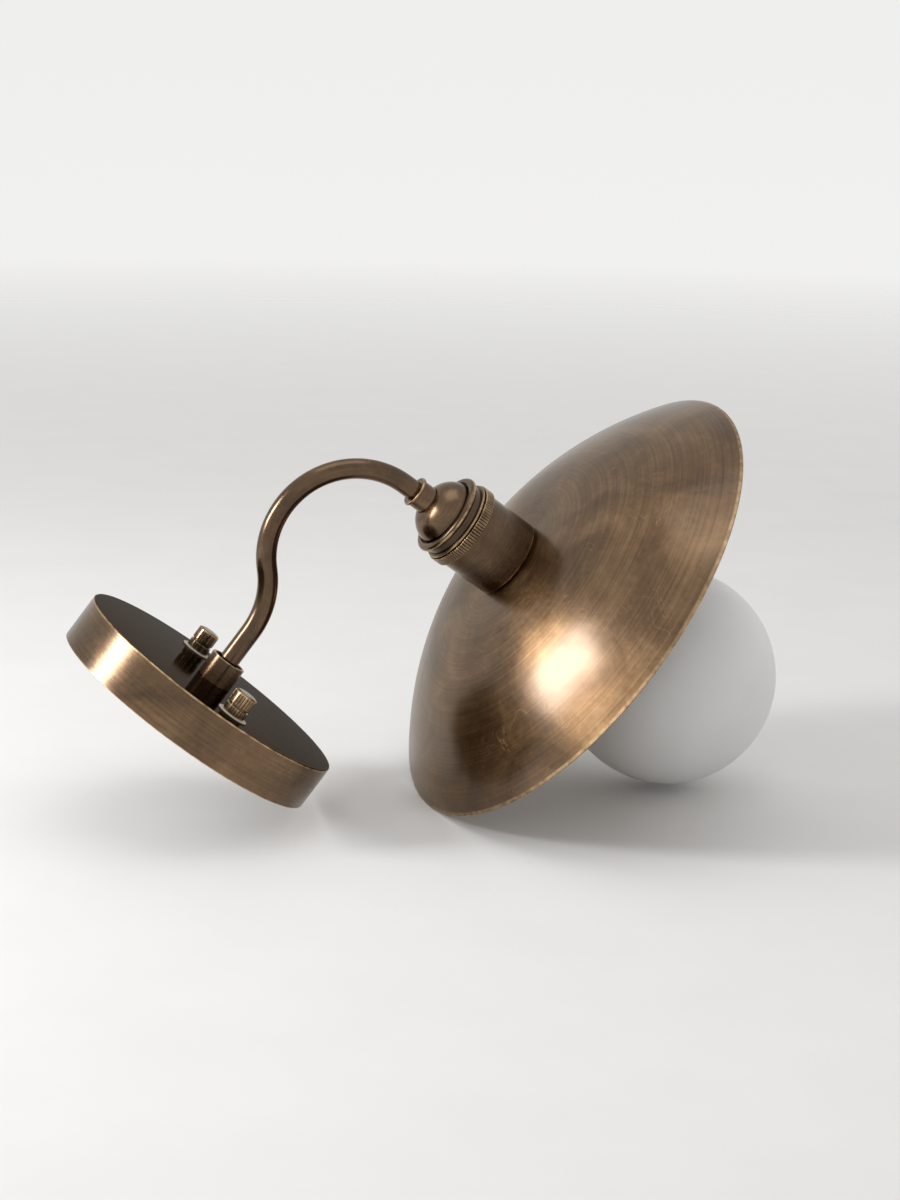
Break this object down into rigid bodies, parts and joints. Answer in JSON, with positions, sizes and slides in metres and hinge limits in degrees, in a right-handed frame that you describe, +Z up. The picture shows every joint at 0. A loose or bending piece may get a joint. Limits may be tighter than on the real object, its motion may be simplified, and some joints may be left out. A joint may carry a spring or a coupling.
{
  "type": "wall sconce",
  "caption": "Brass wall light: round canopy, gooseneck arm, and an upward-opening spun shade with a white globe lamp.",
  "frame": {"origin": "centre of the canopy's back plane, on the wall", "axes": "+Y into the wall, so the arm reaches out along -Y; +Z up, along the shade's and the lamp's axis; x = 0 is the arm's plane"},
  "size_m": [0.2088, 0.2364, 0.2715],
  "materials": {
    "canopy_brass": "aged, brushed round the side wall, polished on the face",
    "arm_brass": "aged, satin",
    "holder_brass": "aged, turned, brighter on the raised beads",
    "shade_brass": "aged, fine circular brushing",
    "nut_brass": "aged, knurled",
    "zinc_plated_steel": "zinc plated",
    "fastener_steel": "plated",
    "fibre": "pale translucent fibre",
    "black_thermoset": "moulded, matt",
    "gasket_rubber": "soft, matt",
    "contact_brass": "bright stamped",
    "live_insulation": "smooth",
    "neutral_insulation": "smooth",
    "earth_insulation": "smooth, striped",
    "block_plastic": "moulded, natural",
    "opal_glass": "matt opal",
    "lamp_cap_metal": "rolled thread, satin",
    "lamp_insulator": "moulded",
    "lamp_solder": "dull solder"
  },
  "bodies": {
    "root": {"canopy": "canopy_brass", "mounting_bracket": "zinc_plated_steel", "stud_left": "fastener_steel", "stud_right": "fastener_steel", "lock_nut_left": "fastener_steel", "lock_nut_right": "fastener_steel", "hub": "arm_brass", "canopy_nipple": "fastener_steel", "toothed_washer": "fastener_steel", "nipple_nut": "fastener_steel", "arm_tube": "arm_brass", "ferrule": "arm_brass", "holder_nipple": "fastener_steel", "holder_washer": "fastener_steel", "holder_nut": "fastener_steel", "dome_cap": "holder_brass", "knurled_collar": "holder_brass", "holder_shell": "holder_brass", "holder_insert": "black_thermoset", "screw_shell": "contact_brass", "centre_contact": "contact_brass", "holder_rivets": "contact_brass", "terminal_lugs": "contact_brass", "lug_screws": "fastener_steel", "shade": "shade_brass", "terminal_block": "block_plastic", "block_sleeves": "contact_brass", "block_screws": "fastener_steel", "block_fixing_screws": "fastener_steel", "earth_screw": "fastener_steel", "earth_terminal": "contact_brass", "live_wire": "live_insulation", "neutral_wire": "neutral_insulation", "earth_wire": "earth_insulation"},
    "washer_left": {"washer_left": "fibre"},
    "cap_nut_left": {"cap_nut_left": "nut_brass"},
    "washer_right": {"washer_right": "fibre"},
    "cap_nut_right": {"cap_nut_right": "nut_brass"},
    "shade_gasket": {"shade_gasket": "gasket_rubber"},
    "shade_ring": {"shade_ring": "black_thermoset"},
    "lamp_contact": {"bulb_insulator": "lamp_insulator", "bulb_contact": "lamp_solder"},
    "lamp": {"bulb_glass": "opal_glass", "bulb_cap": "lamp_cap_metal"}
  },
  "joints": [
    {"name": "washer_left_travel", "type": "slide", "parent": "root", "child": "washer_left", "axis": [0, -1, 0], "range_m": [0, 0.0056]},
    {"name": "cap_nut_left_turn", "type": "hinge", "parent": "washer_left", "child": "cap_nut_left", "pos_m": [-0.043, -0.0201, 0], "axis": [0, -1, 0], "range_deg": [0, 2880]},
    {"name": "washer_right_travel", "type": "slide", "parent": "root", "child": "washer_right", "axis": [0, -1, 0], "range_m": [0, 0.0056]},
    {"name": "cap_nut_right_turn", "type": "hinge", "parent": "washer_right", "child": "cap_nut_right", "pos_m": [0.043, -0.0201, 0], "axis": [0, -1, 0], "range_deg": [0, 2880]},
    {"name": "shade_gasket_travel", "type": "slide", "parent": "root", "child": "shade_gasket", "axis": [0, 0, 1], "range_m": [0, 0.01]},
    {"name": "shade_ring_turn", "type": "hinge", "parent": "shade_gasket", "child": "shade_ring", "pos_m": [0, -0.132, 0.0743], "axis": [0, 0, 1], "range_deg": [0, 1800]},
    {"name": "lamp_travel", "type": "slide", "parent": "root", "child": "lamp_contact", "axis": [0, 0, 1], "range_m": [0, 0.01815]},
    {"name": "lamp_turn", "type": "hinge", "parent": "lamp_contact", "child": "lamp", "pos_m": [0, -0.132, 0.073], "axis": [0, 0, 1], "range_deg": [0, 1800]}
  ],
  "couplings": [
    {"joint": "cap_nut_left_turn", "follows": "washer_left_travel", "rad_per_m": 8976},
    {"joint": "cap_nut_right_turn", "follows": "washer_right_travel", "rad_per_m": 8976},
    {"joint": "shade_gasket_travel", "follows": "shade_ring_turn", "m_per_rad": 0.00031831},
    {"joint": "lamp_travel", "follows": "lamp_turn", "m_per_rad": 0.00057773}
  ]
}
